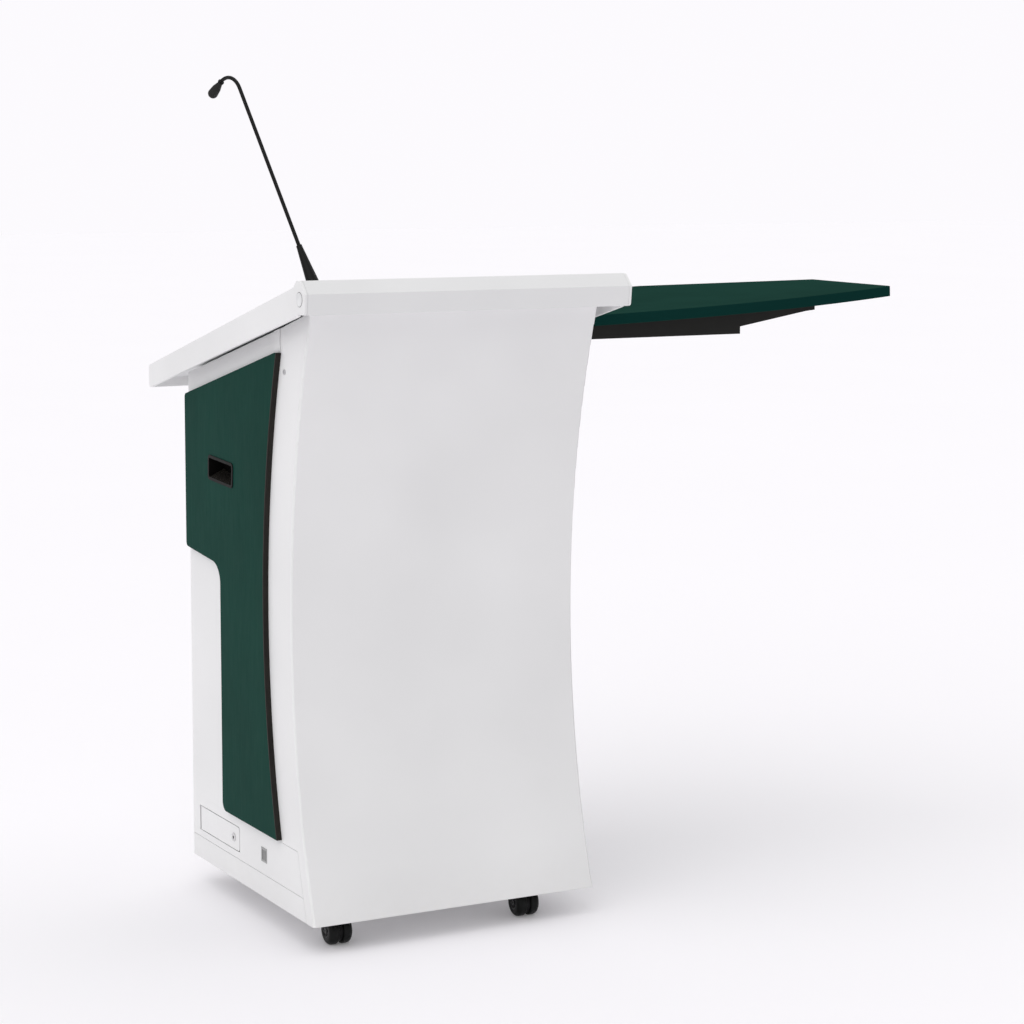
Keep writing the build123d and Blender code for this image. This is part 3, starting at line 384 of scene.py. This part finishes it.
def bar(bm, centre, half, frame_axes):
    """Adds a small bar with chamfered upper edges; frame_axes are its length, width and outward axes."""
    u, v, w = (Vector(a) for a in frame_axes)
    rings = []
    for inset, height in ((0, 0), (0, 0.5), (0.3, 1.0)):
        step = inset * min(half[0], half[1])
        a, b = half[0] - step, half[1] - step
        rings.append([bm.verts.new(Vector(centre) + u * x + v * y + w * half[2] * height)
                      for x, y in ((-a, -b), (a, -b), (a, b), (-a, b))])
    for low, high in zip(rings, rings[1:]):
        for i in range(4):
            j = (i + 1) % 4
            bm.faces.new((low[i], low[j], high[j], high[i]))
    bm.faces.new(rings[-1])
    bm.faces.new(rings[0][::-1])


def pan_head(bm, place, out, radius, height):
    """Adds a pan-head screw with a round socket."""
    profile = [(radius, 0), (radius, height * 0.45), (radius * 0.86, height * 0.85), (radius * 0.62, height),
               (radius * 0.42, height), (radius * 0.38, height * 0.3), (0, height * 0.3)]
    lathe(bm, profile, place, out, 24)


def make_hubs():
    """Ring, ribs and cap on the outer face of every wheel."""
    for corner in CORNERS:
        joint = JOINTS["caster_%s_spin" % corner]
        axle = Vector(joint["axis"]).normalized()
        centre = Vector(joint["pos_m"])
        bm = bmesh.new()
        for side in (-1, 1):
            out = axle * side
            face = centre + out * HUB_FACE
            lathe(bm, HUB_RING, face, out)
            lathe(bm, HUB_CAP, face, out)
            across = out.cross(Vector((0, 0, 1))).normalized()
            upward = out.cross(across).normalized()
            for i in range(HUB_RIBS):
                turn = 2 * math.pi * i / HUB_RIBS + HUB_TURN
                way = across * math.cos(turn) + upward * math.sin(turn)
                bar(bm, face + way * HUB_RIB_AT, HUB_RIB_HALF, (way, out.cross(way), out))
        finished("wheel_hubs_" + corner, bm, HUB_BLACK, "caster_%s_roll" % corner, False)


def make_microphone():
    """Collars at the top of the cone and at the foot of the capsule."""
    start = Vector(JOINTS["mic_tilt"]["pos_m"])
    way = lean_way(NECK_LEAN)
    bm = bmesh.new()
    low = start - way * CONE_COLLAR_DROP
    lathe(bm, CONE_COLLAR, low, way)
    finished("cone_collar", bm, CONE_BLACK, "desk_lid")
    head = Vector(JOINTS["capsule_tilt"]["pos_m"])
    way = lean_way(HEAD_LEAN)
    bm = bmesh.new()
    lathe(bm, CAPSULE_COLLAR, head, way)
    finished("capsule_collar", bm, CONE_BLACK, "mic_capsule")


def make_louvres():
    """Two groups of pressed ventilation louvres in the rear door."""
    low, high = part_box("rear_door")
    bm = bmesh.new()
    steps = LOUVRE_STEPS
    for group in LOUVRE_GROUPS:
        for row in range(LOUVRE_ROWS):
            z = high.z - LOUVRE_TOP - row * LOUVRE_PITCH
            middle = (low.x + high.x) / 2 + group
            rings = []
            for end in (-1, 1):
                for inset in ((0.0, LOUVRE_SLOPE) if end == -1 else (LOUVRE_SLOPE, 0.0)):
                    x = middle + end * (LOUVRE_HALF - inset)
                    rise = LOUVRE_RISE if inset else LOUVRE_FOOT
                    ring = []
                    for i in range(steps + 1):
                        t = math.pi * i / steps
                        ring.append(bm.verts.new((x, REAR_FACE_Y + rise * math.sin(t),
                                                  z + LOUVRE_HALF_HEIGHT * math.cos(t))))
                    rings.append(ring)
            for a, b in zip(rings, rings[1:]):
                for i in range(steps):
                    bm.faces.new((a[i], a[i + 1], b[i + 1], b[i]))
            bm.faces.new(rings[0])
            bm.faces.new(rings[-1][::-1])
    finished("rear_louvres", bm, WHITE, "rear_door", False)


def make_plug_rings():
    """Thin dark joint line round each round plug in the rail ends."""
    for side in ("left", "right"):
        low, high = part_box("lid_pivot_" + side)
        rail_low, rail_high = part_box("desk_rail_" + side)
        sign = -1 if side == "left" else 1
        face = rail_low.x if side == "left" else rail_high.x
        centre = Vector((face, (low.y + high.y) / 2, (low.z + high.z) / 2))
        radius = (high.z - low.z) / 2
        bm = bmesh.new()
        lathe(bm, [(radius, 0.0), (radius + 0.0001, 0.00025), (radius + 0.0008, 0.00025),
                   (radius + 0.0009, 0.0)], centre, (sign, 0, 0), 64)
        finished("plug_ring_" + side, bm, SEAM_GREY, "desk_lid")


def make_handle_floors():
    """Sloping floor inside each handle cup, low at the mouth and higher at the back."""
    for side in ("left", "right"):
        low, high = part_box("handle_cup_" + side)
        sign = 1 if side == "left" else -1
        mouth = (low.x if side == "left" else high.x) + sign * HANDLE_MOUTH
        steps = HANDLE_STEPS
        y0, y1 = low.y + HANDLE_RIM, high.y - HANDLE_RIM
        bm = bmesh.new()
        rows = []
        for i in range(steps + 1):
            t = i / steps
            x = mouth + sign * HANDLE_DEPTH * t
            row = []
            for j in range(steps + 1):
                y = y0 + (y1 - y0) * j / steps
                tilt = HANDLE_SLOPE * ((y0 + y1) / 2 - y)
                middle = (low.z + high.z) / 2
                floor = middle - HANDLE_DROP - tilt
                edge = min(j, steps - j) / steps
                rise = 0.0085 * t + 0.0035 * t * t * (1 - min(1, edge * 8)) + 0.0008 * t ** 6
                row.append(bm.verts.new((x, y, floor + rise)))
            rows.append(row)
        for a, b in zip(rows, rows[1:]):
            for j in range(steps):
                bm.faces.new((a[j], a[j + 1], b[j + 1], b[j]))
        finished("handle_floor_" + side, bm, FLOOR_BLACK, "cabinet")


def make_keyway_shade():
    """Painted shade for the key slot in the flap's lock: a thin dark disc and bar flush on its face."""
    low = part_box("base_door_lock")[0]
    bm = bmesh.new()
    turn_at = JOINTS["base_lock_turn"]["pos_m"]
    centre = (low.x - 0.0001, turn_at[1], turn_at[2])
    lathe(bm, [(0.0022, 0.0), (0.0022, 0.0002), (0.0, 0.0002)], centre, (-1, 0, 0), 24)
    slot_axes = ((0, 0, 1), (0, 1, 0), (-1, 0, 0))
    bar(bm, (low.x, centre[1], centre[2] - 0.0018), (0.0024, 0.0008, 0.0003), slot_axes)
    finished("flap_keyway_shade", bm, FLOOR_BLACK, "base_flap_lock", False)


def make_screws():
    """Screw heads on the shelf's plate and on the rear header."""
    bm = bmesh.new()
    low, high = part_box("shelf_mount")
    for y in (low.y + 0.024, (low.y + high.y) / 2, high.y - 0.024):
        pan_head(bm, (low.x + 0.004, y, low.z + 0.018), (1, 0, 0), 0.0042, 0.0022)
    finished("mount_screws", bm, STEEL, "cabinet", False)
    low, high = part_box("rear_header")
    bm = bmesh.new()
    for x in (low.x + 0.030, high.x - 0.030):
        pan_head(bm, (x, high.y, (low.z + high.z) / 2), (0, 1, 0), 0.0038, 0.0018)
    finished("header_screws", bm, STEEL, "cabinet", False)


# ---- stage, light and camera --------------------------------------------------------------------
WORLD_LIGHT = 0.5
WORLD_LIT = (1.0, 0.995, 1.0, 1)
WORLD_SEEN = (0.975, 0.958, 0.988, 1)
FLOOR_GLOW = 0.10
CAMERA_LENS = 94.15
CAMERA_AT = (-2.3558, -4.1615, 1.3346)
CAMERA_TURN = (28.519, 8.0416, 0.2377)


def make_stage():
    """A wide pale floor."""
    mesh = bpy.data.meshes.new("floor")
    bm = bmesh.new()
    bmesh.ops.create_grid(bm, x_segments=24, y_segments=24, size=30.0)
    bm.to_mesh(mesh)
    bm.free()
    floor = bpy.data.objects.new("floor", mesh)
    SCENE.collection.objects.link(floor)
    s = Shader("pale_floor", Roughness=0.9, Specular_IOR_Level=0.05)
    s.colour(s.ramp(s.noise(0.8, 2.0), [(0.3, (0.862, 0.846, 0.875)), (0.7, (0.868, 0.852, 0.881))]))
    s.bsdf.inputs["Emission Color"].default_value = (1.0, 1.0, 1.0, 1)
    s.bsdf.inputs["Emission Strength"].default_value = FLOOR_GLOW
    mesh.materials.append(s.material)


def sun(name, towards, power, spread):
    """A very soft sun; towards points from the object to the light."""
    data = bpy.data.lights.new(name, "SUN")
    data.energy = power
    data.angle = math.radians(spread)
    lamp = bpy.data.objects.new(name, data)
    lamp.location = Vector(towards) * 4
    lamp.rotation_euler = Vector(towards).to_track_quat("Z", "Y").to_euler()
    SCENE.collection.objects.link(lamp)


def make_light():
    """World light, which the camera sees as a pale backdrop, and two soft suns."""
    world = bpy.data.worlds.new("studio")
    world.use_nodes = True
    tree = world.node_tree
    lit = tree.nodes["Background"]
    lit.inputs["Color"].default_value = WORLD_LIT
    lit.inputs["Strength"].default_value = WORLD_LIGHT
    seen = tree.nodes.new("ShaderNodeBackground")
    seen.inputs["Color"].default_value = WORLD_SEEN
    path = tree.nodes.new("ShaderNodeLightPath")
    choice = tree.nodes.new("ShaderNodeMixShader")
    tree.links.new(path.outputs["Is Camera Ray"], choice.inputs["Fac"])
    tree.links.new(lit.outputs["Background"], choice.inputs[1])
    tree.links.new(seen.outputs["Background"], choice.inputs[2])
    tree.links.new(choice.outputs["Shader"], tree.nodes["World Output"].inputs["Surface"])
    SCENE.world = world
    sun("key_soft", (-0.675, -0.33, 0.80), 1.12, 70)
    sun("fill_soft", (0.35, 0.28, 0.80), 0.95, 90)


def make_camera():
    """The camera, from its place and its yaw, pitch and roll in degrees."""
    data = bpy.data.cameras.new("camera")
    data.lens = CAMERA_LENS
    data.sensor_width = 36.0
    data.clip_end = 60.0
    camera = bpy.data.objects.new("camera", data)
    yaw, pitch, roll = (math.radians(a) for a in CAMERA_TURN)
    ahead = Vector((math.sin(yaw) * math.cos(pitch), math.cos(yaw) * math.cos(pitch), -math.sin(pitch)))
    level = Vector((math.cos(yaw), -math.sin(yaw), 0))
    upright = level.cross(ahead)
    right = level * math.cos(roll) + upright * math.sin(roll)
    up = right.cross(ahead)
    turn = Matrix((right, up, -ahead)).transposed().to_4x4()
    camera.matrix_world = Matrix.Translation(CAMERA_AT) @ turn
    SCENE.collection.objects.link(camera)
    SCENE.camera = camera


make_stage()
make_light()
make_camera()
make_hubs()
make_microphone()
make_louvres()
make_plug_rings()
make_handle_floors()
make_keyway_shade()
make_screws()
SCENE.view_settings.view_transform = "Standard"
